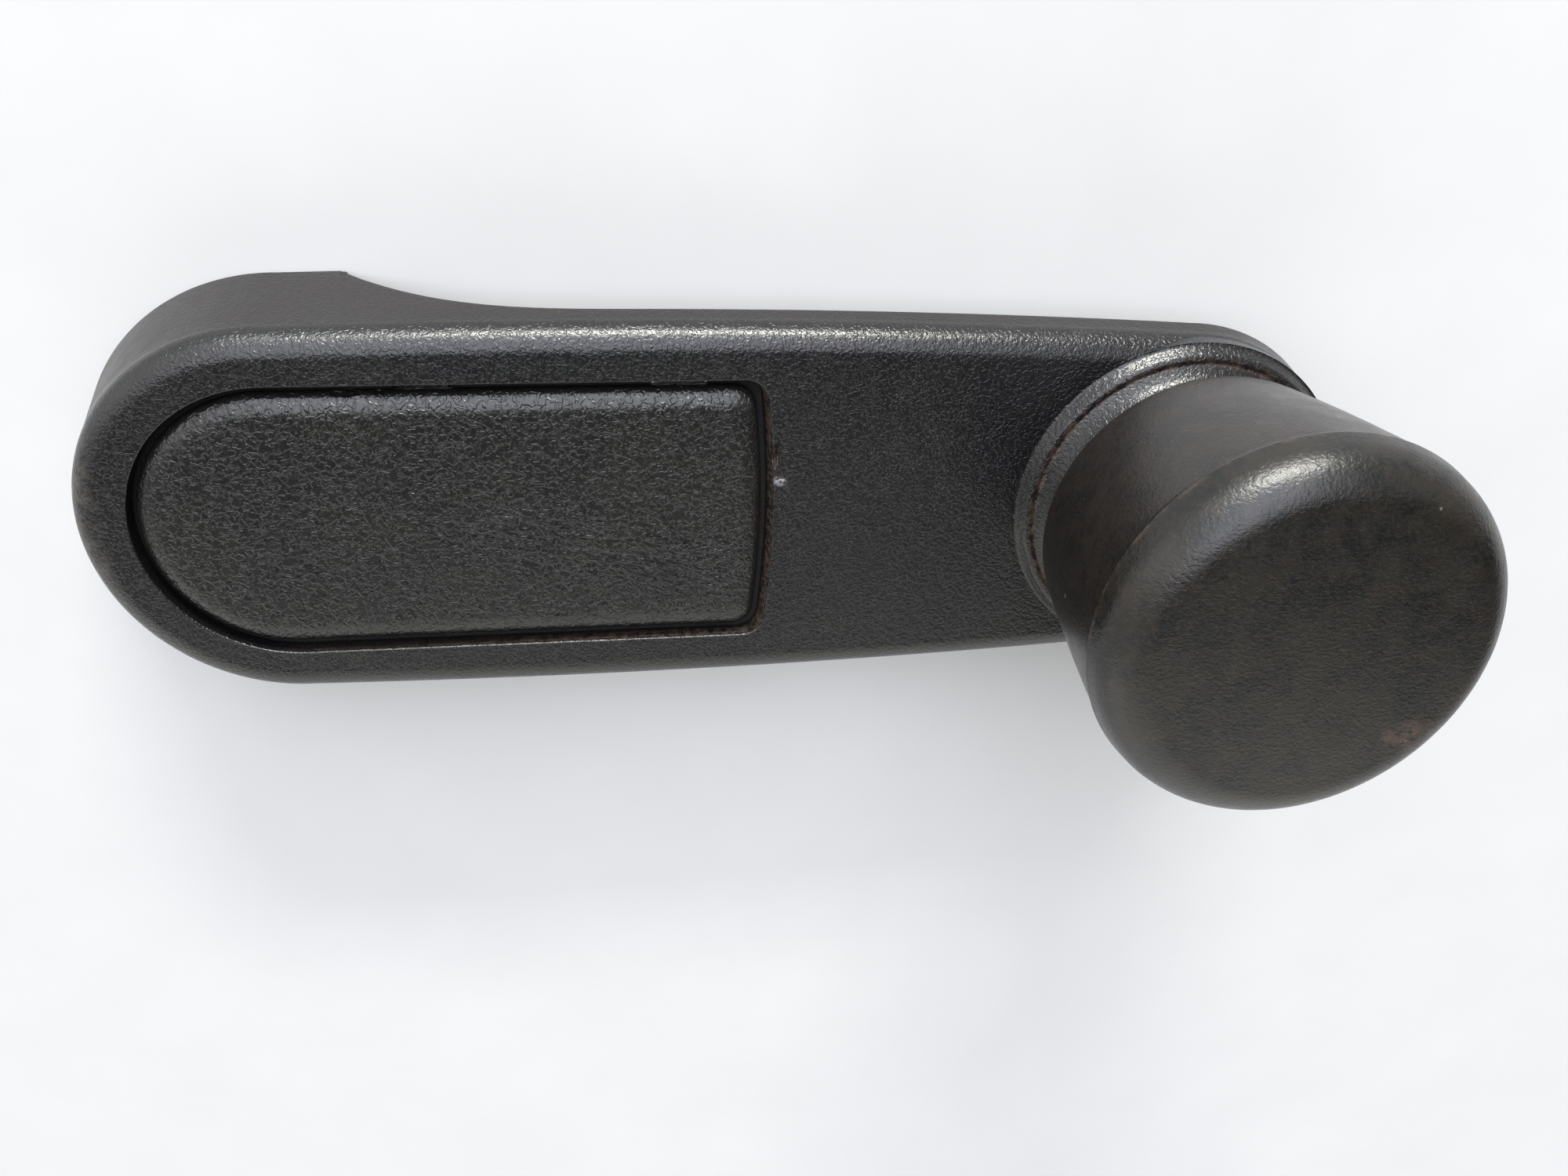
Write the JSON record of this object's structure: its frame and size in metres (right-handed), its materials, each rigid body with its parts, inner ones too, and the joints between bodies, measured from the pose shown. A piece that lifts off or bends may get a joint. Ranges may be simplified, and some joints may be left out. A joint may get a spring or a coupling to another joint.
{
  "type": "window winder handle",
  "caption": "Crank handle of a manual car window winder: arm with splined hub, snap-in cover over the fixing screw and a free-turning flared knob.",
  "frame": {"origin": "centre of the spindle socket, in the plane of the hub's rear face", "axes": "+Z along the spindle axis, away from the door and towards the knob's end; +X along the arm from the spindle axis to the knob axis; +Y across the arm"},
  "size_m": [0.1181, 0.0388, 0.0405],
  "materials": {
    "arm_plastic": "fine moulded grain, satin black",
    "cover_plastic": "coarser leather-like moulded grain, satin black",
    "knob_plastic": "fine streaked grain, worn matte black",
    "bush_nylon": "natural nylon",
    "plated_steel": "zinc plated",
    "sintered_steel": "sintered, dull",
    "spring_steel": "blued spring steel"
  },
  "bodies": {
    "crank": {"crank_arm": "arm_plastic", "spline_insert": "sintered_steel", "core_plate": "plated_steel", "retaining_screw": "plated_steel", "lock_washer": "spring_steel", "knob_pin": "plated_steel", "thrust_washer": "bush_nylon", "wave_washer": "spring_steel"},
    "knob": {"knob_grip": "knob_plastic", "knob_bush": "bush_nylon"},
    "cover": {"cover_cap": "cover_plastic"}
  },
  "joints": [
    {"name": "knob_spin", "type": "hinge", "parent": "crank", "child": "knob", "pos_m": [0.082, 0, 0.022], "axis": [0, 0, 1], "continuous": true},
    {"name": "cover_lift", "type": "slide", "parent": "crank", "child": "cover", "axis": [0, 0, 1], "range_m": [0, 0.012]}
  ]
}
